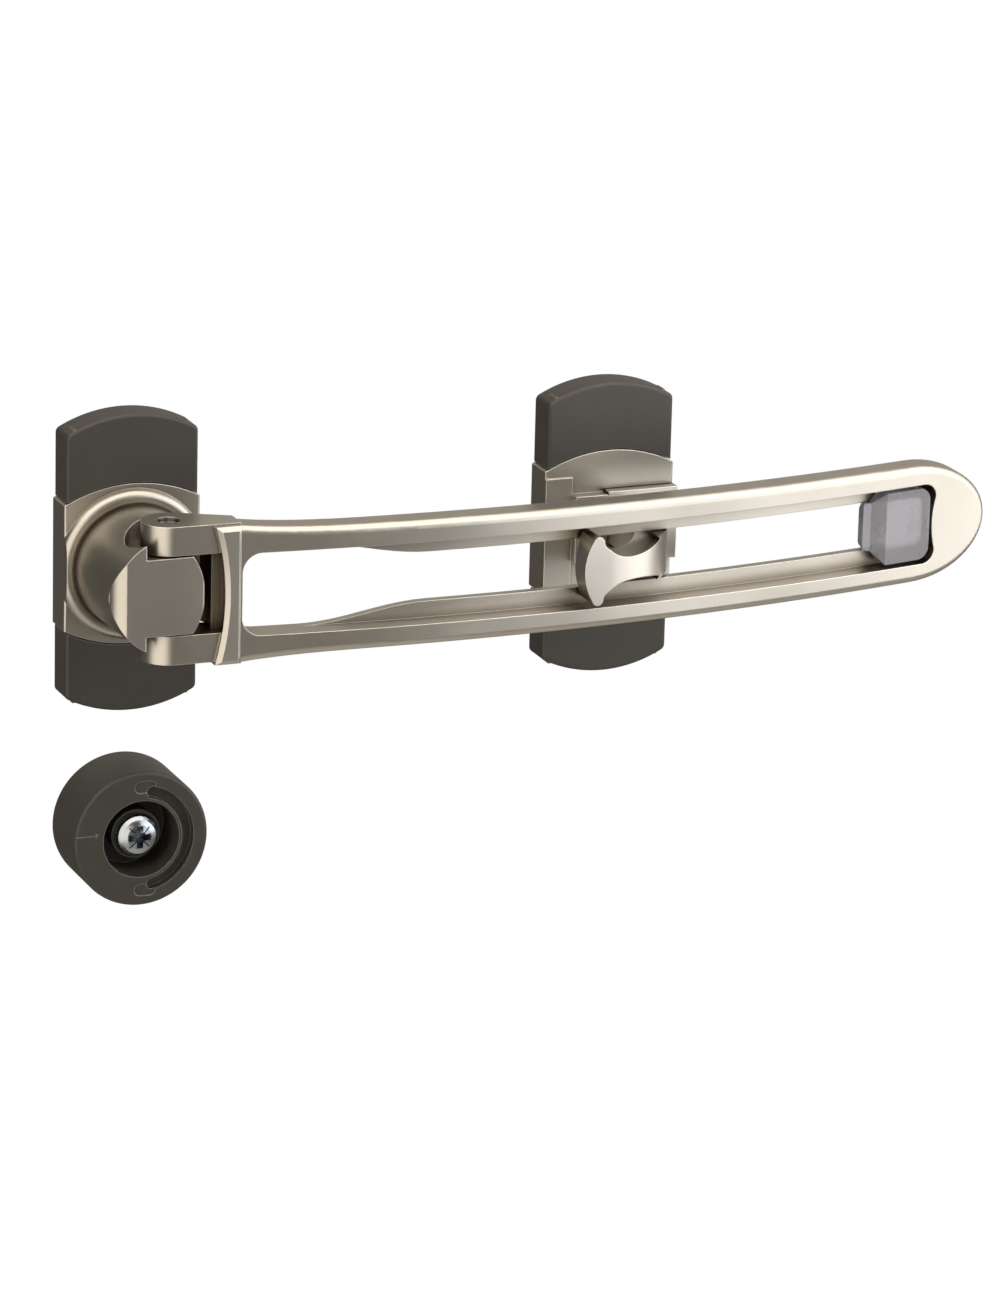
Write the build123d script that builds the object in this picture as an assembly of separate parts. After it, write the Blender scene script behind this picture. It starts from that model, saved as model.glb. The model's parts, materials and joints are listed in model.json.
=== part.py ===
from build123d import *
import os
from math import acos, atan2, cos, hypot, sin, sqrt

os.makedirs("parts", exist_ok=True)

# Swing arm door guard: a hinge plate with its slotted arm, a keeper plate whose hook
# rides in the arm's slot, and a round wall bumper.
# X runs along the arm from the hinge to the nose, Z is up and the wall is the plane Y = 0
# with the room on its -Y side. The origin is the middle of the hinge plate's back.
# A reach is a distance in front of the wall, and an inset is a distance behind the
# arm's front surface. Sizes are in millimetres.

# Plates, the same on the hinge and the keeper
cap_width = 30.5
plate_side = 60.0
arch_rise = 4.0
plate_depth = 8.0
edge_round = 0.8
cap_corner = 1.5
saddle_width = 31.5
saddle_side = 28.6
saddle_round = 0.5
saddle_gap = 0.3

# Screw tongues and the plastic caps over them
cap_wall = 1.6
cap_clearance = 0.2
tongue_depth = 3.2
rib_width = 1.6
rib_from_screw = 6.5
wall_screw_spacing = 48.0
wall_screw_hole = 4.5
wall_screw_sink = 8.6

# Hinge boss, its rim and the pin
pin_across = 1.0
pin_reach = 29.0
pin_radius = 2.5
pin_running_gap = 0.05
pin_recess = 0.7
pin_chamfer = 0.4
rim_radius = 15.3
rim_thickness = 1.9
rim_reach = 8.2
boss_foot_radius = 14.1
boss_front_radius = 13.4
boss_bevel_width = 2.9
boss_bevel_depth = 3.4
boss_bevel_radius = 5.5
bevel_margin = 1.0
knuckle_half_height = 8.7
knuckle_radius = 6.4
knuckle_crown = 15.5
knuckle_round = 0.5
lug_pocket_radius = 9.5
fork_gap = 0.35
web_gap = 0.4

# Arm
arm_end = 200.4
arm_depth = 7.3
arm_drop = 0.5
arm_crest = 76.7
arm_crest_reach = 40.5
arm_bow = 525.0
lug_radius = 6.1
fork_half_height = 15.6
crossbar_left = 9.5
crossbar_right = 15.5
crossbar_hollow = 2.2
crossbar_proud = 1.1
crossbar_depth = 6.4
crossbar_chamfer = 0.9
web_back_reach = 25.2
fork_set_back = 1.4
fork_flare = 0.12
waist_half_height = 14.25
waist_at = 55.0
nose_half_height = 13.75
nose_length = 20.0
nose_handle = 0.5523
rail_round = 1.7
rail_back_round = 0.8

# Slot in the arm: a wide channel in front, and two lips behind it
channel_half_height = 9.4
nose_wall = 14.1
channel_hinge_corner = 4.4
channel_nose_corner = 3.2
channel_end_bulge = 0.9
channel_depth = 5.2
lip_half_height = 5.65
lip_start = 30.0
lip_full = 60.0
lip_nose_wall = 16.0
lip_corner = 2.0
cut_margin = 10.0

# Buffer in the nose end of the slot
buffer_face_length = 12.0
buffer_length = 16.4
buffer_slope_length = 2.5
buffer_slope_depth = 3.1
buffer_half_height = 8.4
buffer_end_gap = 0.45
buffer_inset = 0.5
buffer_corner = 3.0
buffer_clearance = 0.05

# Keeper and its hook
keeper_across = 114.0
keeper_drop = 1.4
hook_front = 43.2
hook_thickness = 7.4
hook_bend_radius = 20.2
hook_bend_across = -14.0
hook_head_left = -20.3
hook_tip_across = -17.1
hook_tip_half_height = 7.9
hook_tip_round = 1.3
hook_tip_slope = 0.1
hook_cheek_across = 2.4
hook_cheek_fall = 1.6
hook_head_bow = 2.0
hook_head_shoulder = 0.4
hook_waist_across = -11.5
hook_waist_half_height = 3.05
hook_root_across = 0.0
hook_root_high = 5.4
hook_root_low = 4.6
hook_root_swell = 0.4
hook_back_round = 1.6
foot_half_height = 8.4
foot_reach = 10.8
foot_floor = 3.4
foot_gap = 0.15
plinth_left = -9.2
plinth_half_height = 7.8
plinth_reach = 11.0
pad_right = -9.2
pad_half_height = 12.7
pad_proud = 0.6
hook_screw_radius = 2.5
hook_screw_head = 4.6
hook_screw_reach = 17.0

# Bumper and its screw
bumper_drop = 61.7
bumper_radius = 15.6
bumper_depth = 15.8
bumper_round = 0.8
bumper_bore = 8.9
bumper_floor = 5.0
bumper_post = 5.6
bumper_seat = 11.6
channel_inner = 9.6
channel_outer = 12.3
channel_sink = 2.2
channel_half_angle = 76.0
mark_length = 5.0
mark_width = 2.7
mark_sink = 0.3
mark_across = 0.9
mark_radius = 12.0
bumper_screw_radius = 2.4
bumper_screw_shank_radius = 2.1
bumper_screw_shank_past = 0.8
bumper_screw_length = 37.4
bumper_screw_head = 5.0
bumper_screw_dome = 3.4
bumper_screw_brim = 1.1
bumper_screw_cheek = 3.6
bumper_screw_cheek_fall = 0.6
bumper_screw_hole_gap = 0.15
bumper_screw_point = 6.0
cross_width = 1.5
cross_span = 5.4
cross_depth = 2.2


def prism(outline, near, far):
    """An outline seen from the front, X and Z, as a solid between two reaches."""
    return extrude(Plane.XZ.offset(near) * outline, far - near)


def plan(outline, low, high):
    """An outline seen from above, X and Y, as a solid between two heights."""
    return extrude(Plane.XY.offset(low) * outline, high - low)


def arched(width, side, rise):
    """The plates' outline: straight sides with an arched top and bottom."""
    w = width / 2
    h = side / 2
    return make_face(
        Line((-w, -h), (-w, h))
        + ThreePointArc((-w, h), (0, h + rise), (w, h))
        + Line((w, h), (w, -h))
        + ThreePointArc((w, -h), (0, -h - rise), (-w, -h))
    )


def post(radius, x, z, near, far):
    """A round bar square to the wall."""
    return prism(Pos(x, z) * Circle(radius), near, far)


def sink(radius_near, radius_far, x, z, near, far):
    """A cone square to the wall, between two reaches."""
    cone = Cone(radius_near, radius_far, far - near)
    return Pos(x, -(near + far) / 2, z) * Rot(X=90) * cone


def upright(radius, x, reach, low, high):
    """A round bar parallel to Z."""
    return plan(Pos(x, -reach) * Circle(radius), low, high)


# Plate casting: the nickel saddle in the middle and a thin tongue behind each cap
def plate_casting():
    saddle = prism(arched(saddle_width, saddle_side, arch_rise), 0, plate_depth)
    front_sides = saddle.edges().filter_by(Axis.Z).group_by(Axis.Y)[0]
    saddle = fillet(front_sides, saddle_round)
    margin = 2 * (cap_wall + cap_clearance)
    tongue_outline = arched(cap_width - margin, plate_side - margin, arch_rise)
    casting = saddle + prism(tongue_outline, 0, tongue_depth)
    sink_depth = (wall_screw_sink - wall_screw_hole) / 2
    for z in (wall_screw_spacing / 2, -wall_screw_spacing / 2):
        casting -= post(wall_screw_hole / 2, 0, z, -1, tongue_depth + 1)
        casting -= sink(
            wall_screw_hole / 2,
            wall_screw_sink / 2,
            0,
            z,
            tongue_depth - sink_depth,
            tongue_depth,
        )
    return casting


# Cap: a hollow moulding, open towards the wall and the saddle, with two ribs that
# rest on the tongue
def cap(direction):
    shell = prism(arched(cap_width, plate_side, arch_rise), 0, plate_depth)
    shell = fillet(shell.edges().filter_by(Axis.Y), cap_corner)
    shell = fillet(shell.faces().sort_by(Axis.Y)[0].edges(), edge_round)
    cavity_outline = arched(
        cap_width - 2 * cap_wall, plate_side - 2 * cap_wall, arch_rise
    )
    shell -= prism(cavity_outline, 0, plate_depth - cap_wall)
    inner_width = cap_width - 2 * cap_wall
    for offset in (-rib_from_screw, rib_from_screw):
        z = direction * (wall_screw_spacing / 2 + offset)
        rib = Pos(0, z) * Rectangle(inner_width - 2 * cap_clearance, rib_width)
        shell += prism(rib, tongue_depth, plate_depth - cap_wall / 2)
    saddle_room = arched(saddle_width, saddle_side + 2 * saddle_gap, arch_rise)
    shell -= prism(saddle_room, -1, plate_depth + 1)
    half = Pos(0, direction * plate_side) * Rectangle(2 * cap_width, 2 * plate_side)
    return shell & prism(half, 0, plate_depth)


# Hinge plate: a round boss with a raised rim stands on the saddle, is cut back above
# and below for the arm's lugs, and ends in the knuckle that holds the pin
def hinge_plate():
    front = pin_reach + knuckle_radius
    boss_profile = make_face(
        Polyline(
            (0, -front),
            (0, -plate_depth / 2),
            (boss_foot_radius, -plate_depth / 2),
            (boss_front_radius, -front),
            (0, -front),
        )
    )
    boss = revolve(boss_profile, Axis.Y)

    above = fork_half_height * 2
    bevel_back = (-boss_front_radius - bevel_margin, -(front - boss_bevel_depth))
    bevel_front = (-boss_front_radius + boss_bevel_width, -front)
    bevel_start = (-boss_front_radius, -(front - boss_bevel_depth))
    bevel_room = make_face(
        Line(bevel_back, bevel_start)
        + RadiusArc(bevel_start, bevel_front, -boss_bevel_radius)
        + Polyline(bevel_front, (bevel_back[0], -front), bevel_back)
    )
    boss -= plan(bevel_room, -above, above)
    for low, high in ((knuckle_half_height, above), (-above, -knuckle_half_height)):
        boss -= upright(lug_pocket_radius, pin_across, pin_reach, low, high)
    arm_room = Pos(
        pin_across + boss_foot_radius, -(pin_reach - lug_pocket_radius + front)
    ) * Rectangle(2 * boss_foot_radius, 2 * front)
    boss -= plan(arm_room, -above, above)

    knuckle_corner = Pos(
        pin_across + knuckle_radius / 2, -(pin_reach + knuckle_radius / 2)
    ) * Rectangle(knuckle_radius, knuckle_radius)
    outer_vertex = knuckle_corner.vertices().sort_by(Axis.X)[2:].sort_by(Axis.Y)[0]
    knuckle_corner = fillet(outer_vertex, knuckle_round)
    knuckle_plan = Pos(pin_across, -pin_reach) * Circle(knuckle_radius) + knuckle_corner
    knuckle = plan(knuckle_plan, -knuckle_half_height, knuckle_half_height)
    crown_centre = pin_across + knuckle_radius - knuckle_crown
    knuckle &= post(knuckle_crown, crown_centre, 0, 0, front + 1)
    boss += knuckle

    rim = revolve(
        Pos(rim_radius, -rim_reach) * Circle(rim_thickness),
        Axis.Y,
    )
    side_limit = Rectangle(saddle_width, plate_side)
    rim &= prism(side_limit, 0, front)
    boss -= upright(pin_radius, pin_across, pin_reach, -above, above)
    return plate_casting() + rim + boss


def hinge_pin():
    half = fork_half_height - pin_recess
    pin = upright(pin_radius, pin_across, pin_reach, -half, half)
    return chamfer(pin.edges().filter_by(GeomType.CIRCLE), pin_chamfer)


# Arm: its front is bowed in plan
def bow_reach(x, inset):
    centre_reach = arm_crest_reach - arm_bow
    return centre_reach + sqrt((arm_bow - inset) ** 2 - (x - arm_crest) ** 2)


def bow_band(near_inset, far_inset, start, end):
    """The plan outline between two insets."""

    def point(x, inset):
        return (x, -bow_reach(x, inset))

    def arc(inset):
        middle = (start + end) / 2
        return ThreePointArc(
            point(start, inset), point(middle, inset), point(end, inset)
        )

    return make_face(
        arc(near_inset)
        + Line(point(end, near_inset), point(end, far_inset))
        + arc(far_inset)
        + Line(point(start, far_inset), point(start, near_inset))
    )


def arm_outline():
    """The bar seen from the front, without its slot."""

    nose_start = arm_end - nose_length
    taper = (nose_half_height - waist_half_height) / (nose_start - waist_at)
    first_handle = nose_length * nose_handle
    shoulder = nose_half_height + taper * first_handle

    def side(sign):
        return (
            Spline(
                (crossbar_right, sign * fork_half_height),
                (waist_at, sign * waist_half_height),
                tangents=((1, -sign * fork_flare), (1, sign * taper)),
            )
            + Line(
                (waist_at, sign * waist_half_height), (nose_start, sign * nose_half_height)
            )
            + Bezier(
                (nose_start, sign * nose_half_height),
                (nose_start + first_handle, sign * shoulder),
                (arm_end, sign * nose_half_height * nose_handle),
                (arm_end, 0),
            )
        )

    left = (crossbar_left + crossbar_right) / 2
    return make_face(
        side(1)
        + side(-1)
        + Polyline(
            (crossbar_right, fork_half_height),
            (left, fork_half_height),
            (left, -fork_half_height),
            (crossbar_right, -fork_half_height),
        )
    )


def channel_outline():
    """The slot's wide front opening."""
    h = channel_half_height
    left = crossbar_right
    right = arm_end - nose_wall
    a = channel_hinge_corner
    b = channel_nose_corner
    return make_face(
        Line((left + a, h), (right - b, h))
        + RadiusArc((right - b, h), (right, h - b), b)
        + ThreePointArc(
            (right, h - b), (right - channel_end_bulge, 0), (right, b - h)
        )
        + RadiusArc((right, b - h), (right - b, -h), b)
        + Line((right - b, -h), (left + a, -h))
        + RadiusArc((left + a, -h), (left, a - h), a)
        + Line((left, a - h), (left, h - a))
        + RadiusArc((left, h - a), (left + a, h), a)
    )


def lip_outline():
    """The slot between the lips, wide near the hinge so that the hook can enter."""
    h = channel_half_height
    n = lip_half_height
    lip_end = arm_end - lip_nose_wall
    left = crossbar_right
    a = channel_hinge_corner
    c = lip_corner

    def swell(sign):
        return Spline(
            (lip_start, sign * h), (lip_full, sign * n), tangents=((1, 0), (1, 0))
        )

    return make_face(
        Line((left + a, h), (lip_start, h))
        + swell(1)
        + Line((lip_full, n), (lip_end - c, n))
        + RadiusArc((lip_end - c, n), (lip_end, n - c), c)
        + Line((lip_end, n - c), (lip_end, c - n))
        + RadiusArc((lip_end, c - n), (lip_end - c, -n), c)
        + Line((lip_end - c, -n), (lip_full, -n))
        + swell(-1)
        + Line((lip_start, -h), (left + a, -h))
        + RadiusArc((left + a, -h), (left, a - h), a)
        + Line((left, a - h), (left, h - a))
        + RadiusArc((left, h - a), (left + a, h), a)
    )


def edges_on(solid, radius):
    """The edges round the bowed face of this radius."""
    faces = solid.faces().filter_by(GeomType.CYLINDER)
    bowed = faces.filter_by(lambda face: abs(face.radius - radius) < 0.01)
    return bowed.edges().filter_by(Axis.Z, reverse=True)


def arm():
    tall = 2 * fork_half_height
    far = arm_crest_reach + cut_margin
    bar_start = (crossbar_left + crossbar_right) / 2
    bar_end = arm_end + cut_margin
    bar = plan(bow_band(0, arm_depth, bar_start, bar_end), -tall, tall)
    bar &= prism(arm_outline(), 0, far)
    bar = fillet(edges_on(bar, arm_bow), rail_round)
    bar = fillet(edges_on(bar, arm_bow - arm_depth), rail_back_round)

    # Fork: two lugs round the pin, joined by a web and the crossbar
    back_corner = (crossbar_right, bow_reach(crossbar_right, arm_depth))
    run = back_corner[0] - pin_across
    climb = back_corner[1] - pin_reach
    turn = atan2(climb, run) - acos(lug_radius / hypot(run, climb))
    lug_plan = Pos(pin_across, -pin_reach) * Circle(lug_radius) + make_face(
        Polyline(
            (pin_across, -(pin_reach + lug_radius)),
            (crossbar_right, -(bow_reach(crossbar_right, 0) - fork_set_back)),
            (back_corner[0], -back_corner[1]),
            (
                pin_across + lug_radius * cos(turn),
                -(pin_reach + lug_radius * sin(turn)),
            ),
            (pin_across, -pin_reach),
            (pin_across, -(pin_reach + lug_radius)),
        )
    )
    lug_low = knuckle_half_height + fork_gap
    lug_high = fork_half_height
    for low, high in (
        (arm_drop + lug_low, arm_drop + lug_high),
        (arm_drop - lug_high, arm_drop - lug_low),
    ):
        lug = plan(lug_plan, low, high)
        lug -= upright(pin_radius + pin_running_gap, pin_across, pin_reach, low, high)
        bar += lug

    crossbar_front = bow_reach(crossbar_left, 0) + crossbar_proud
    hollow = crossbar_left + crossbar_hollow
    crossbar_face = make_face(
        ThreePointArc(
            (crossbar_left, fork_half_height),
            (hollow, 0),
            (crossbar_left, -fork_half_height),
        )
        + Polyline(
            (crossbar_left, -fork_half_height),
            (crossbar_right, -fork_half_height),
            (crossbar_right, fork_half_height),
            (crossbar_left, fork_half_height),
        )
    )
    crossbar = prism(crossbar_face, crossbar_front - crossbar_depth, crossbar_front)
    front_rim = crossbar.faces().sort_by(Axis.Y)[0].edges()
    crossbar = chamfer(front_rim, crossbar_chamfer)
    bar += crossbar

    web_front = crossbar_front - crossbar_depth + 1
    web = Pos(
        (pin_across + crossbar_right) / 2, -(web_back_reach + web_front) / 2
    ) * Rectangle(crossbar_right - pin_across, web_front - web_back_reach)
    bar += plan(web, arm_drop - lug_low, arm_drop + lug_low)
    web_room = hypot(knuckle_radius, knuckle_radius) + web_gap
    fork_low = arm_drop - lug_low
    bar -= upright(web_room, pin_across, pin_reach, fork_low, fork_low + 2 * lug_low)

    # Slot
    front_band = bow_band(-cut_margin, channel_depth, bar_start, bar_end)
    front_zone = plan(front_band, -tall, tall)
    bar -= prism(channel_outline(), 0, far) & front_zone
    bar -= prism(lip_outline(), 0, far)
    return Pos(Z=-arm_drop) * bar


def arm_buffer():
    """A block that fills the slot's nose end, sloped and narrowed towards the hook."""
    h = buffer_half_height
    n = lip_half_height - buffer_clearance
    c = buffer_corner
    right = arm_end - nose_wall - channel_end_bulge - buffer_end_gap
    face_left = right - buffer_face_length
    slope_left = face_left - buffer_slope_length
    left = right - buffer_length
    outline = make_face(
        Line((face_left, h), (right - c, h))
        + RadiusArc((right - c, h), (right, h - c), c)
        + Line((right, h - c), (right, c - h))
        + RadiusArc((right, c - h), (right - c, -h), c)
        + Polyline(
            (right - c, -h),
            (face_left, -h),
            (slope_left, -n),
            (left, -n),
            (left, n),
            (slope_left, n),
            (face_left, h),
        )
    )
    tall = 2 * fork_half_height
    front = bow_reach(face_left, buffer_inset)
    slope_back = front - buffer_slope_depth
    slope = make_face(
        Polyline(
            (face_left, -front),
            (slope_left, -slope_back),
            (left, -slope_back),
            (left, 0),
            (arm_end, 0),
            (arm_end, -front),
            (face_left, -front),
        )
    )
    head_band = bow_band(buffer_inset, channel_depth, crossbar_right, arm_end)
    head = prism(outline, 0, front) & plan(head_band, -tall, tall) & plan(slope, -h, h)
    tail_right = arm_end - lip_nose_wall - buffer_end_gap
    tail_face = Pos((left + tail_right) / 2, 0) * Rectangle(tail_right - left, 2 * n)
    tail_band = bow_band(
        channel_depth / 2, arm_depth - buffer_inset, crossbar_right, arm_end
    )
    tail = prism(fillet(tail_face.vertices(), lip_corner), 0, front)
    tail &= plan(tail_band, -tall, tall) & plan(slope, -h, h)
    return Pos(Z=-arm_drop) * (head + tail)


# Keeper plate: a low pad on the left, a plinth, and a socket for the hook's foot
def keeper_plate():
    casting = plate_casting()
    half_width = saddle_width / 2
    pad = Pos((pad_right - half_width) / 2, 0) * Rectangle(
        half_width + pad_right, 2 * pad_half_height
    )
    casting += prism(pad, plate_depth / 2, plate_depth + pad_proud)
    foot_left = hook_bend_across + hook_bend_radius - hook_thickness
    foot_rise = keeper_drop - arm_drop
    plinth = Pos((plinth_left + foot_left) / 2, foot_rise) * Rectangle(
        foot_left - plinth_left, 2 * plinth_half_height
    )
    casting += prism(plinth, plate_depth / 2, plinth_reach)
    socket_left = foot_left - foot_gap
    socket = Pos((socket_left + half_width) / 2 + 1, 0) * Rectangle(
        half_width - socket_left + 2, 2 * (foot_half_height + foot_gap)
    )
    casting -= prism(Pos(Y=foot_rise) * socket, foot_floor, plinth_reach + 1)
    screw_x = foot_left + hook_thickness / 2
    casting -= post(hook_screw_radius + foot_gap, screw_x, foot_rise, -1, foot_floor)
    casting -= sink(
        hook_screw_head + foot_gap,
        hook_screw_radius + foot_gap,
        screw_x,
        foot_rise,
        0,
        hook_screw_head - hook_screw_radius,
    )
    return Pos(keeper_across, 0, -keeper_drop) * casting


# Hook: a bent strap whose whale-tail head is trapped in front of the arm's lips
def keeper_hook():
    bend_reach = hook_front - hook_bend_radius
    inner = hook_bend_radius - hook_thickness
    outer_right = hook_bend_across + hook_bend_radius
    inner_right = hook_bend_across + inner
    head_back = hook_front - hook_thickness
    b = hook_back_round
    strap_plan = make_face(
        Line((hook_head_left, -hook_front), (hook_bend_across, -hook_front))
        + RadiusArc(
            (hook_bend_across, -hook_front),
            (outer_right, -bend_reach),
            -hook_bend_radius,
        )
        + Polyline(
            (outer_right, -bend_reach),
            (outer_right, -foot_floor),
            (inner_right, -foot_floor),
            (inner_right, -bend_reach),
        )
        + RadiusArc((inner_right, -bend_reach), (hook_bend_across, -head_back), inner)
        + Line((hook_bend_across, -head_back), (hook_head_left + b, -head_back))
        + RadiusArc((hook_head_left + b, -head_back), (hook_head_left, -head_back - b), b)
        + Line((hook_head_left, -head_back - b), (hook_head_left, -hook_front))
    )
    strap = plan(strap_plan, -foot_half_height, foot_half_height)

    shoulder = hook_tip_half_height - hook_tip_round
    bow_half = shoulder + hook_head_shoulder

    def flank(sign, root):
        return Spline(
            (hook_tip_across + hook_tip_round, sign * shoulder),
            (
                hook_tip_across + hook_cheek_across,
                sign * (shoulder - hook_cheek_fall),
            ),
            (hook_waist_across, sign * hook_waist_half_height),
            (hook_root_across, sign * (root - hook_root_swell)),
            (outer_right + 1, sign * root),
            tangents=((hook_tip_slope, -sign), (1, 0)),
        )

    left = hook_head_left + hook_head_bow
    tail = make_face(
        ThreePointArc((left, -bow_half), (hook_head_left, 0), (left, bow_half))
        + ThreePointArc(
            (left, bow_half),
            (hook_tip_across, hook_tip_half_height),
            (hook_tip_across + hook_tip_round, shoulder),
        )
        + flank(1, hook_root_high)
        + Line(
            (outer_right + 1, hook_root_high), (outer_right + 1, -hook_root_low)
        )
        + flank(-1, hook_root_low)
        + ThreePointArc(
            (hook_tip_across + hook_tip_round, -shoulder),
            (hook_tip_across, -hook_tip_half_height),
            (left, -bow_half),
        )
    )
    strap &= prism(tail, 0, hook_front + 1)

    half_width = saddle_width / 2
    foot = Pos((inner_right + half_width) / 2, 0) * Rectangle(
        half_width - inner_right, 2 * foot_half_height
    )
    hook = strap + prism(foot, foot_floor, foot_reach)
    screw_x = inner_right + hook_thickness / 2
    hook -= post(hook_screw_radius, screw_x, 0, 0, hook_screw_reach)
    return Pos(X=keeper_across, Z=-arm_drop) * hook


def hook_screw():
    screw_x = hook_bend_across + hook_bend_radius - hook_thickness / 2
    head_depth = hook_screw_head - hook_screw_radius
    shank = post(hook_screw_radius, screw_x, 0, 0, hook_screw_reach - 1)
    head = sink(hook_screw_head, hook_screw_radius, screw_x, 0, 0, head_depth)
    return Pos(X=keeper_across, Z=-arm_drop) * (shank + head)


# Bumper: a round moulded cup with a C-shaped channel in its face and two small
# oval marks at the channel's ends
def bumper():
    body = post(bumper_radius, 0, 0, 0, bumper_depth)
    body = fillet(body.faces().sort_by(Axis.Y)[0].edges(), bumper_round)
    body -= post(bumper_bore, 0, 0, bumper_floor, bumper_depth + 1)
    body += post(bumper_post, 0, 0, 0, bumper_seat)
    body -= post(bumper_screw_radius + bumper_screw_hole_gap, 0, 0, -1, bumper_seat + 1)
    channel_middle = (channel_inner + channel_outer) / 2
    sweep = CenterArc(
        (0, 0), channel_middle, -channel_half_angle, 2 * channel_half_angle
    )
    channel = make_face(
        offset(sweep, (channel_outer - channel_inner) / 2, kind=Kind.ARC).edges()
    )
    body -= prism(channel, bumper_depth - channel_sink, bumper_depth + 1)
    for height in (mark_radius, -mark_radius):
        mark = Pos(mark_across, height) * SlotOverall(mark_length, mark_width)
        body -= prism(mark, bumper_depth - mark_sink, bumper_depth + 1)
    return Pos(Z=-bumper_drop) * body


def bumper_screw():
    crown = bumper_seat + bumper_screw_dome
    tip = bumper_seat - bumper_screw_length
    r = bumper_screw_radius
    thread_start = -bumper_screw_shank_past
    profile = make_face(
        Polyline(
            (0, -crown),
            (0, -tip),
            (r, -(tip + bumper_screw_point)),
            (r, -thread_start),
            (bumper_screw_shank_radius, -thread_start),
            (bumper_screw_shank_radius, -bumper_seat),
            (bumper_screw_head, -bumper_seat),
            (bumper_screw_head, -(bumper_seat + bumper_screw_brim)),
        )
        + ThreePointArc(
            (bumper_screw_head, -(bumper_seat + bumper_screw_brim)),
            (bumper_screw_cheek, -(crown - bumper_screw_cheek_fall)),
            (0, -crown),
        )
    )
    screw = revolve(profile, Axis.Y)
    for angle in (0, 90):
        bar = Rot(Z=angle) * Rectangle(cross_span, cross_width)
        screw -= prism(bar, crown - cross_depth, crown + 1)
    return Pos(Z=-bumper_drop) * screw


nodes = {
    "hinge_base": hinge_plate(),
    "hinge_cap_upper": cap(1),
    "hinge_cap_lower": cap(-1),
    "hinge_pin": hinge_pin(),
    "arm": arm(),
    "arm_buffer": arm_buffer(),
    "keeper_base": keeper_plate(),
    "keeper_hook": keeper_hook(),
    "keeper_hook_screw": hook_screw(),
    "keeper_cap_upper": Pos(keeper_across, 0, -keeper_drop) * cap(1),
    "keeper_cap_lower": Pos(keeper_across, 0, -keeper_drop) * cap(-1),
    "bumper": bumper(),
    "bumper_screw": bumper_screw(),
}
for name, solid in nodes.items():
    export_step(solid, f"parts/{name}.step")
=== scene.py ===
import json
from math import cos, pi, radians, sin

import bmesh
import bpy
from mathutils import Matrix, Quaternion, Vector


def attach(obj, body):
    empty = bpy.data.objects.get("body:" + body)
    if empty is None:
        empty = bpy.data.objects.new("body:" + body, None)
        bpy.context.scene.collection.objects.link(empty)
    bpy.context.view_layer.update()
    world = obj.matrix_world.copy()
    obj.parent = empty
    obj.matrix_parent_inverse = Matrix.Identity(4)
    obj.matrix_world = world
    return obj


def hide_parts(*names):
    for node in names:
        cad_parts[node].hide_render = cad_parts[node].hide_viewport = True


# Lengths are in metres. Y runs from the room (minus) into the wall (plus), and Z is up.
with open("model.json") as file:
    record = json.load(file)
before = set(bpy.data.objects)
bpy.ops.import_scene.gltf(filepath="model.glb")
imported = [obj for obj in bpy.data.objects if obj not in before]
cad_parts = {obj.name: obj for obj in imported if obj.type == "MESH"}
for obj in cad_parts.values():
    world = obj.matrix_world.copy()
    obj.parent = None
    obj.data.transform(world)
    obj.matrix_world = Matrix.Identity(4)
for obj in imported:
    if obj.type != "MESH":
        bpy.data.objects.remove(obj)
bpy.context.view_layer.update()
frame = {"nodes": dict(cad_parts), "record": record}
nodes = frame["nodes"]
print("frame loaded:", len(nodes), "nodes")


# Camera, at the photograph's viewing angle
cameraSettings = {
    "azimuth": -22.42,  # degrees, minus is left of square on
    "elevation": 16.97,
    "roll": 1.46,
    "distance": 1.4443,
    "lens": 176.36,  # millimetres
    "aim": (0.09154, 0.0, -0.02966),
    "clipStart": 0.05,
    "clipEnd": 50,
}


def addCamera(settings):
    turn = Quaternion((0, 0, 1), radians(settings["azimuth"]))
    tilt = Quaternion((1, 0, 0), radians(90 - settings["elevation"]))
    roll = Quaternion((0, 0, 1), radians(settings["roll"]))
    facing = turn @ tilt @ roll
    camera = bpy.data.objects.new("camera", bpy.data.cameras.new("camera"))
    bpy.context.scene.collection.objects.link(camera)
    camera.data.lens = settings["lens"]
    camera.data.clip_start = settings["clipStart"]
    camera.data.clip_end = settings["clipEnd"]
    camera.rotation_mode = "QUATERNION"
    camera.rotation_quaternion = facing
    back = facing @ Vector((0, 0, 1))
    camera.location = Vector(settings["aim"]) + back * settings["distance"]
    bpy.context.scene.camera = camera


addCamera(cameraSettings)
bpy.context.scene.view_settings.view_transform = "Standard"
print("camera placed")


# Node helpers
noiseLow, noiseHigh = 0.3, 0.7  # a noise stays between these nearly everywhere
edgeStart, edgeFull = 0.985, 0.90  # cosines between the rounded normal and the flat one
bevelSamples = 4
recessSamples = 8


def newTree(name):
    material = bpy.data.materials.new(name)
    material.use_nodes = True
    material.node_tree.nodes.clear()
    return material, material.node_tree


def addNode(tree, kind, sockets=None, **settings):
    node = tree.nodes.new(kind)
    for key, value in settings.items():
        setattr(node, key, value)
    for key, value in (sockets or {}).items():
        if isinstance(value, bpy.types.NodeSocket):
            tree.links.new(value, node.inputs[key])
        else:
            node.inputs[key].default_value = value
    return node


def objectPlace(tree):
    return addNode(tree, "ShaderNodeTexCoord").outputs["Object"]


def remap(tree, value, fromLow, fromHigh, toLow, toHigh, **settings):
    sockets = {
        "Value": value,
        "From Min": fromLow,
        "From Max": fromHigh,
        "To Min": toLow,
        "To Max": toHigh,
    }
    return addNode(tree, "ShaderNodeMapRange", sockets, **settings).outputs["Result"]


def noiseAt(tree, place, scale, detail):
    sockets = {"Vector": place, "Scale": scale, "Detail": detail}
    return addNode(tree, "ShaderNodeTexNoise", sockets).outputs["Fac"]


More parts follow.
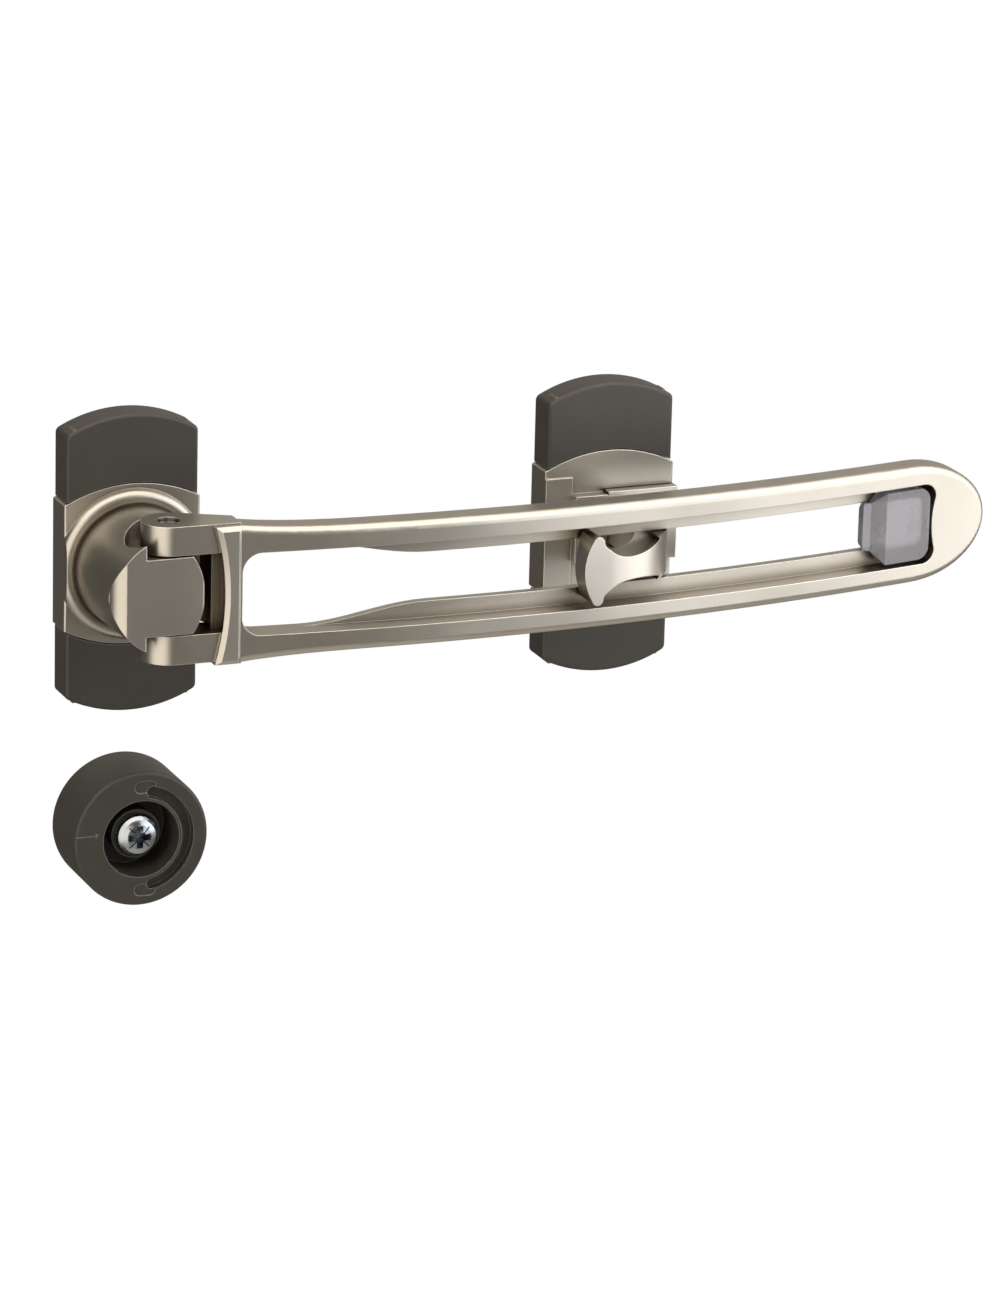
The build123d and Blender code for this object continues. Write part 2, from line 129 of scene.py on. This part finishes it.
def twoTones(tree, factor, dark, light):
    ramp = addNode(tree, "ShaderNodeValToRGB", {"Fac": factor})
    ramp.color_ramp.elements[0].color = (*dark, 1)
    ramp.color_ramp.elements[1].color = (*light, 1)
    return ramp.outputs["Color"]


def mixColours(tree, share, first, second):
    sockets = {"Fac": share, "Color1": first, "Color2": (*second, 1)}
    return addNode(tree, "ShaderNodeMixRGB", sockets).outputs["Color"]


def roughness(tree, noise, finish):
    return remap(tree, noise, noiseLow, noiseHigh, finish["roughLow"], finish["roughHigh"])


def edgeNormal(tree, finish):
    sockets = {"Radius": finish["edgeRadius"]}
    return addNode(tree, "ShaderNodeBevel", sockets, samples=bevelSamples).outputs["Normal"]


# How much of a place is edge: 0 on a flat face, 1 where the rounding turns it most. It masks the
# painted edge highlight
def edgeHighlightShare(tree, edge):
    flat = addNode(tree, "ShaderNodeNewGeometry").outputs["Normal"]
    along = addNode(tree, "ShaderNodeVectorMath", {0: edge, 1: flat}, operation="DOT_PRODUCT")
    return remap(tree, along.outputs["Value"], edgeStart, edgeFull, 0.0, 1.0)


# How deep a place lies in a corner or channel, by ambient occlusion: 0 in the open, 1 when closed
# in. It masks the painted shade
def occlusionShadeShare(tree, finish):
    sockets = {"Distance": finish["recessReach"]}
    shade = addNode(tree, "ShaderNodeAmbientOcclusion", sockets, samples=recessSamples)
    return remap(
        tree, shade.outputs["AO"], finish["recessOpen"], finish["recessClosed"], 0.0, 1.0
    )


def bump(tree, height, strength, depth, normal):
    sockets = {"Height": height, "Strength": strength, "Distance": depth, "Normal": normal}
    return addNode(tree, "ShaderNodeBump", sockets).outputs["Normal"]


def grainNormal(tree, place, grain, edge, finish):
    if "waveDepth" in finish:
        wave = noiseAt(tree, place, finish["waveScale"], finish["waveDetail"])
        edge = bump(tree, wave, finish["waveStrength"], finish["waveDepth"], edge)
    return bump(tree, grain, finish["grainStrength"], finish["grainDepth"], edge)


def principled(tree, sockets):
    shader = addNode(tree, "ShaderNodeBsdfPrincipled", sockets)
    addNode(tree, "ShaderNodeOutputMaterial", {"Surface": shader.outputs["BSDF"]})


# Finishes. Every scale counts noise cells per metre.
nickelFinish = {
    "dark": (0.49, 0.462, 0.415),
    "light": (0.59, 0.558, 0.505),
    "paintedEdgeHighlight": (0.95, 0.92, 0.87),  # painted highlight: the edges are mixed toward a light colour
    "recess": (0.15, 0.12, 0.09),  # painted shade: inner corners and channels are darkened toward a warm brown
    "recessReach": 0.011,
    "recessOpen": 0.86,  # occlusion level of an open face
    "recessClosed": 0.24,
    "cloudScale": 60,
    "cloudDetail": 2.0,
    "grainScale": 2600,
    "grainDetail": 3.0,
    "grainDepth": 0.00002,
    "grainStrength": 0.25,
    "roughLow": 0.30,
    "roughHigh": 0.38,
    "waveScale": 38,  # slow waviness of the casting's faces
    "waveDetail": 0.0,
    "waveDepth": 0.0009,
    "waveStrength": 1.0,
    "edgeRadius": 0.00025,
}

hookFinish = {  # the hook's nickel, painted lighter than that of the castings to stand in for its brighter reflection
    **nickelFinish,
    "dark": (0.60, 0.575, 0.53),
    "light": (0.71, 0.68, 0.63),
}


def nickelMaterial(name, finish):
    material, tree = newTree(name)
    place = objectPlace(tree)
    cloud = noiseAt(tree, place, finish["cloudScale"], finish["cloudDetail"])
    grain = noiseAt(tree, place, finish["grainScale"], finish["grainDetail"])
    edge = edgeNormal(tree, finish)
    body = twoTones(tree, cloud, finish["dark"], finish["light"])
    # painted highlight: edges mixed toward a light colour
    body = mixColours(tree, edgeHighlightShare(tree, edge), body, finish["paintedEdgeHighlight"])
    # painted shade: recesses mixed toward a dark warm colour
    body = mixColours(tree, occlusionShadeShare(tree, finish), body, finish["recess"])
    sockets = {
        "Base Color": body,
        "Roughness": roughness(tree, grain, finish),
        "Metallic": 1.0,
        "Normal": grainNormal(tree, place, grain, edge, finish),
    }
    principled(tree, sockets)
    return material


plasticFinish = {
    "dark": (0.042, 0.0385, 0.033),
    "light": (0.055, 0.050, 0.043),
    # painted highlight along the plastic's edges
    "paintedEdgeHighlight": (0.42, 0.39, 0.34),
    "cloudScale": 90,
    "cloudDetail": 2.0,
    "grainScale": 3200,
    "grainDetail": 2.0,
    "grainDepth": 0.00002,
    "grainStrength": 0.18,
    "roughLow": 0.40,
    "roughHigh": 0.52,
    "edgeRadius": 0.00022,
}


def plasticMaterial(finish):
    material, tree = newTree("taupePlastic")
    place = objectPlace(tree)
    cloud = noiseAt(tree, place, finish["cloudScale"], finish["cloudDetail"])
    grain = noiseAt(tree, place, finish["grainScale"], finish["grainDetail"])
    edge = edgeNormal(tree, finish)
    body = twoTones(tree, cloud, finish["dark"], finish["light"])
    sockets = {
        # painted highlight: the plastic's edges are mixed toward a light colour
        "Base Color": mixColours(tree, edgeHighlightShare(tree, edge), body, finish["paintedEdgeHighlight"]),
        "Roughness": roughness(tree, grain, finish),
        "Normal": grainNormal(tree, place, grain, edge, finish),
    }
    principled(tree, sockets)
    return material


bufferFinish = {
    "dark": (0.35, 0.34, 0.37),
    "light": (0.50, 0.49, 0.52),
    "cloudScale": 180,
    "cloudDetail": 2.0,
    "roughLow": 0.22,
    "roughHigh": 0.34,
    "transmission": 0.62,
    "ior": 1.42,
}


def bufferMaterial(finish):
    material, tree = newTree("milkyBuffer")
    place = objectPlace(tree)
    cloud = noiseAt(tree, place, finish["cloudScale"], finish["cloudDetail"])
    sockets = {
        "Base Color": twoTones(tree, cloud, finish["dark"], finish["light"]),
        "Roughness": roughness(tree, cloud, finish),
        "Transmission Weight": finish["transmission"],
        "IOR": finish["ior"],
    }
    principled(tree, sockets)
    return material


zincFinish = {
    "dark": (0.34, 0.37, 0.41),
    "light": (0.56, 0.60, 0.66),
    "cloudScale": 900,
    "cloudDetail": 3.0,
    "roughLow": 0.16,
    "roughHigh": 0.30,
    # painted shade: the zinc's recesses, such as the screw's cross recess, are darkened toward a
    # cool dark grey
    "recess": (0.13, 0.15, 0.18),
    "recessReach": 0.0016,
    "recessOpen": 0.88,
    "recessClosed": 0.45,
}


def zincMaterial(finish):
    material, tree = newTree("brightZinc")
    place = objectPlace(tree)
    cloud = noiseAt(tree, place, finish["cloudScale"], finish["cloudDetail"])
    body = twoTones(tree, cloud, finish["dark"], finish["light"])
    sockets = {
        # painted shade in the recesses
        "Base Color": mixColours(tree, occlusionShadeShare(tree, finish), body, finish["recess"]),
        "Roughness": roughness(tree, cloud, finish),
        "Metallic": 1.0,
    }
    principled(tree, sockets)
    return material


finishes = {  # by material slot
    "nickel": nickelMaterial("satinNickel", nickelFinish),
    "cap_plastic": plasticMaterial(plasticFinish),
    "buffer_plastic": bufferMaterial(bufferFinish),
    "pin_steel": zincMaterial(zincFinish),
    "screw_zinc": zincMaterial(zincFinish),
}
# a lighter copy of the nickel on the hook, painted light
nodeFinishes = {"keeper_hook": nickelMaterial("hookNickelPaintedLighter", hookFinish)}  # by node


def finishNodes():
    for row in frame["record"]["subparts"]:
        node = nodes[row["node"]]
        own = nodeFinishes.get(row["node"], finishes[row["material_slot"]])
        node.data.materials.clear()
        node.data.materials.append(own)


finishNodes()
print("finishes assigned")


# Shape helpers
mergeDistance = 1e-7  # closes the poles of a spun shape


def shapeObject(name, shape):
    mesh = bpy.data.meshes.new(name)
    shape.to_mesh(mesh)
    shape.free()
    made = bpy.data.objects.new(name, mesh)
    bpy.context.scene.collection.objects.link(made)
    return made


def pieceObject(name, shape, slotName):
    piece = shapeObject(name, shape)
    piece.data.materials.append(finishes[slotName])
    return piece


def spinProfile(shape, points, axisHeight, steps):
    verts = [shape.verts.new((radius, y, axisHeight)) for radius, y in points]
    edges = [shape.edges.new(pair) for pair in zip(verts, verts[1:])]
    bmesh.ops.spin(
        shape,
        geom=verts + edges,
        cent=(0, 0, axisHeight),
        axis=(0, 1, 0),
        angle=2 * pi,
        steps=steps,
        use_merge=True,
    )
    bmesh.ops.remove_doubles(shape, verts=shape.verts, dist=mergeDistance)
    bmesh.ops.recalc_face_normals(shape, faces=shape.faces)


# A bar turned about Y, whose wall side is narrower by the taper
def addBar(shape, size, turn, place, taper=1.0):
    bar = bmesh.ops.create_cube(shape, size=1)["verts"]
    bmesh.ops.scale(shape, vec=size, verts=bar)
    deep = [v for v in bar if v.co.y > 0]
    bmesh.ops.scale(shape, vec=(taper, 1, taper), verts=deep)
    bmesh.ops.rotate(shape, cent=(0, 0, 0), matrix=Matrix.Rotation(turn, 3, "Y"), verts=bar)
    bmesh.ops.translate(shape, vec=place, verts=bar)


def cutAway(piece, cutterShape):
    cutter = shapeObject("cutter", cutterShape)
    modifier = piece.modifiers.new("recess", "BOOLEAN")
    modifier.object = cutter
    modifier.operation = "DIFFERENCE"
    modifier.solver = "EXACT"
    modifier.use_self = True
    graph = bpy.context.evaluated_depsgraph_get()
    cutMesh = bpy.data.meshes.new_from_object(piece.evaluated_get(graph))
    piece.modifiers.clear()
    piece.data = cutMesh
    bpy.data.objects.remove(cutter)


# Screw in the bumper: domed head with a cross recess and ticks, neck, core and point
screwSettings = {
    "drop": -0.0617,  # height of the screw's axis
    "crown": -0.0150,  # nearest the room, along Y
    "brim": -0.0127,
    "seat": -0.0116,
    "headRadius": 0.005,
    "domeAngles": (0, 0.3, 0.6, 0.9, 1.2, pi / 2),  # radians from the axis
    "neckRadius": 0.0021,
    "neckEnd": 0.0012,  # where the thread starts
    "coreRadius": 0.0017,
    "coreStart": 0.0014,
    "pointStart": 0.0200,
    "tip": 0.0257,
    "steps": 64,  # round the axis
    "cross": {
        "span": 0.0065,
        "width": 0.0019,
        "depth": 0.0023,
        "taper": 0.62,
        "turns": (0, pi / 2),
    },
    "ticks": {
        "span": 0.0066,
        "width": 0.0003,
        "depth": 0.0011,
        "taper": 1.0,
        "turns": (pi / 4, -pi / 4),
    },
}


def addScrew(screw):
    shape = bmesh.new()
    crown, brim, seat = screw["crown"], screw["brim"], screw["seat"]
    head, fall = screw["headRadius"], brim - crown
    dome = [(head * sin(angle), brim - fall * cos(angle)) for angle in screw["domeAngles"]]
    shank = [
        (head, seat),
        (screw["neckRadius"], seat),
        (screw["neckRadius"], screw["neckEnd"]),
        (screw["coreRadius"], screw["coreStart"]),
        (screw["coreRadius"], screw["pointStart"]),
        (0, screw["tip"]),
    ]
    spinProfile(shape, dome + shank, screw["drop"], screw["steps"])
    body = pieceObject("bumperScrew", shape, "screw_zinc")
    cutter = bmesh.new()
    for cut in (screw["cross"], screw["ticks"]):
        size = (cut["span"], 2 * cut["depth"], cut["width"])
        for turn in cut["turns"]:
            addBar(cutter, size, turn, (0, crown, screw["drop"]), cut["taper"])
    cutAway(body, cutter)
    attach(body, "base")
    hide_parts("bumper_screw")


addScrew(screwSettings)
print("screw made")


# Thread on the screw: a three-cornered ridge wound round the core
threadSettings = {
    "drop": screwSettings["drop"],
    "start": screwSettings["neckEnd"],
    "footRadius": screwSettings["coreRadius"] * 0.9,  # sunk a tenth into the core
    "crestRadius": 0.00238,
    "pitch": 0.0022,
    "halfWidth": 0.3,  # in pitches
    "turns": 8,
    "stepsPerTurn": 24,
}


def addThread(thread):
    shape = bmesh.new()
    foot, half = thread["footRadius"], thread["pitch"] * thread["halfWidth"]
    middle = thread["start"] + half
    corners = ((foot, middle - half), (thread["crestRadius"], middle), (foot, middle + half))
    section = [shape.verts.new((x, y, thread["drop"])) for x, y in corners]
    face = shape.faces.new(section)
    bmesh.ops.spin(
        shape,
        geom=section + list(face.edges) + [face],
        cent=(0, 0, thread["drop"]),
        axis=(0, 1, 0),
        dvec=(0, thread["pitch"] / thread["stepsPerTurn"], 0),
        angle=2 * pi * thread["turns"],
        steps=thread["stepsPerTurn"] * thread["turns"],
    )
    bmesh.ops.recalc_face_normals(shape, faces=shape.faces)
    ridge = pieceObject("screwThread", shape, "screw_zinc")
    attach(ridge, "base")


addThread(threadSettings)
print("thread made")


# Fine mould line across the bumper's rim, with a small tick at its inner end
mouldSettings = {
    "drop": -0.0599,
    "front": -0.0158,
    "proud": 0.00012,  # height over the rim
    "width": 0.00028,
    "outerEnd": -0.0151,
    "innerEnd": -0.0100,
    "tickLength": 0.0010,
    "tickTurn": 0.6,  # radians
}


def addMouldLine(mould):
    shape = bmesh.new()
    outer, inner = mould["outerEnd"], mould["innerEnd"]
    tick, slant = mould["tickLength"], mould["tickTurn"]
    reach = tick / 2 * cos(slant)
    rise = tick / 2 * sin(slant)
    bars = (
        (inner - outer, 0.0, (inner + outer) / 2, 0.0),
        (tick, slant, inner - reach, rise),
        (tick, -slant, inner - reach, -rise),
    )
    for length, turn, across, up in bars:
        size = (length, 2 * mould["proud"], mould["width"])
        addBar(shape, size, turn, (across, mould["front"], mould["drop"] + up))
    line = pieceObject("mouldLine", shape, "cap_plastic")
    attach(line, "base")


addMouldLine(mouldSettings)
print("mould line made")


# Light and background
studio = {
    "floorDrop": 0.55,  # below the wall plate's middle
    "floorSize": 12.0,
    "paper": (0.86, 0.86, 0.86),
    "white": (1.0, 1.0, 1.0),
    "whiteLevel": 1.0,
    "diffuseWorld": 0.5,
    "roomGlow": 0.11,  # what the metal mirrors between the glows
    "roomTint": (1.0, 0.93, 0.82),
}
glows = {  # azimuth from straight in front to the right, elevation and radii, in degrees
    "leftPanel": {"azimuth": -52, "elevation": 4, "inner": 30, "outer": 50, "level": 1.5},
    "rightPanel": {"azimuth": 75, "elevation": 10, "inner": 16, "outer": 45, "level": 0.5},
    "ceiling": {"azimuth": -30, "elevation": 84, "inner": 33, "outer": 52, "level": 2.2},
    "floorBounce": {"azimuth": 10, "elevation": -80, "inner": 20, "outer": 66, "level": 0.5},
    "backWall": {"azimuth": 150, "elevation": 30, "inner": 15, "outer": 60, "level": 0.3},
}
lamps = {
    "keySoftbox": {"from": (-1.3, -0.9, 1.0), "size": 0.6, "watts": 8, "mirrored": False},
    "sidePanel": {"from": (0.31, -0.185, 0.08), "size": 0.45, "watts": 1.08, "mirrored": True},
}


def towards(azimuth, elevation):
    across = cos(radians(elevation))
    return (
        sin(radians(azimuth)) * across,
        -cos(radians(azimuth)) * across,
        sin(radians(elevation)),
    )


# A round soft light in the world, full inside its inner radius and gone at its outer one
def glowLevel(tree, direction, glow):
    sockets = {0: direction, 1: towards(glow["azimuth"], glow["elevation"])}
    facing = addNode(tree, "ShaderNodeVectorMath", sockets, operation="DOT_PRODUCT")
    return remap(
        tree,
        facing.outputs["Value"],
        cos(radians(glow["outer"])),
        cos(radians(glow["inner"])),
        0.0,
        glow["level"],
        interpolation_type="SMOOTHSTEP",
    )


# 1 for what the camera sees, straight or through the buffer
def seenShare(tree, rays):
    sockets = {0: rays["Is Camera Ray"], 1: rays["Is Transmission Ray"]}
    return addNode(tree, "ShaderNodeMath", sockets, operation="MAXIMUM").outputs["Value"]


def mixLevels(tree, share, first, second):
    sockets = {"Factor": share, "A": first, "B": second}
    return addNode(tree, "ShaderNodeMix", sockets).outputs["Result"]


# White where it is seen, the glows where metal mirrors it, and plain light elsewhere
def addWorld(settings, glowSettings):
    world = bpy.data.worlds.new("studioWorld")
    world.use_nodes = True
    tree = world.node_tree
    tree.nodes.clear()
    rays = addNode(tree, "ShaderNodeLightPath").outputs
    direction = addNode(tree, "ShaderNodeTexCoord").outputs["Generated"]
    mirrored = settings["roomGlow"]
    for glow in glowSettings.values():
        sockets = {0: glowLevel(tree, direction, glow), 1: mirrored}
        mirrored = addNode(tree, "ShaderNodeMath", sockets, operation="ADD").outputs["Value"]
    seen = seenShare(tree, rays)
    unseen = mixLevels(tree, rays["Is Glossy Ray"], settings["diffuseWorld"], mirrored)
    sockets = {
        "Color": mixColours(tree, seen, (*settings["roomTint"], 1), settings["white"]),
        "Strength": mixLevels(tree, seen, unseen, settings["whiteLevel"]),
    }
    background = addNode(tree, "ShaderNodeBackground", sockets)
    addNode(tree, "ShaderNodeOutputWorld", {"Surface": background.outputs["Background"]})
    bpy.context.scene.world = world


# White where it is seen, clear where metal mirrors it, and pale paper for the light
def floorMaterial(settings):
    material, tree = newTree("palePaper")
    rays = addNode(tree, "ShaderNodeLightPath").outputs
    matte = addNode(tree, "ShaderNodeBsdfDiffuse", {"Color": (*settings["paper"], 1)})
    sockets = {"Color": (*settings["white"], 1), "Strength": settings["whiteLevel"]}
    white = addNode(tree, "ShaderNodeEmission", sockets)
    clear = addNode(tree, "ShaderNodeBsdfTransparent")
    sockets = {"Fac": seenShare(tree, rays), 1: matte.outputs["BSDF"], 2: white.outputs["Emission"]}
    paper = addNode(tree, "ShaderNodeMixShader", sockets)
    sockets = {"Fac": rays["Is Glossy Ray"], 1: paper.outputs["Shader"], 2: clear.outputs["BSDF"]}
    surface = addNode(tree, "ShaderNodeMixShader", sockets)
    addNode(tree, "ShaderNodeOutputMaterial", {"Surface": surface.outputs["Shader"]})
    return material


def addFloor(settings):
    shape = bmesh.new()
    bmesh.ops.create_grid(shape, x_segments=1, y_segments=1, size=settings["floorSize"])
    bmesh.ops.translate(shape, vec=(0, 0, -settings["floorDrop"]), verts=shape.verts)
    floor = shapeObject("floor", shape)
    floor.data.materials.append(floorMaterial(settings))


def addLamps(settings, aim):
    for name, lamp in settings.items():
        light = bpy.data.lights.new(name, "AREA")
        light.energy = lamp["watts"]
        light.size = lamp["size"]
        place = Vector(lamp["from"])
        holder = bpy.data.objects.new(name, light)
        bpy.context.scene.collection.objects.link(holder)
        holder.location = place
        holder.visible_glossy = lamp["mirrored"]
        holder.visible_camera = False
        holder.rotation_mode = "QUATERNION"
        holder.rotation_quaternion = (Vector(aim) - place).to_track_quat("-Z", "Y")


addWorld(studio, glows)
addFloor(studio)
addLamps(lamps, cameraSettings["aim"])
print("studio lit")
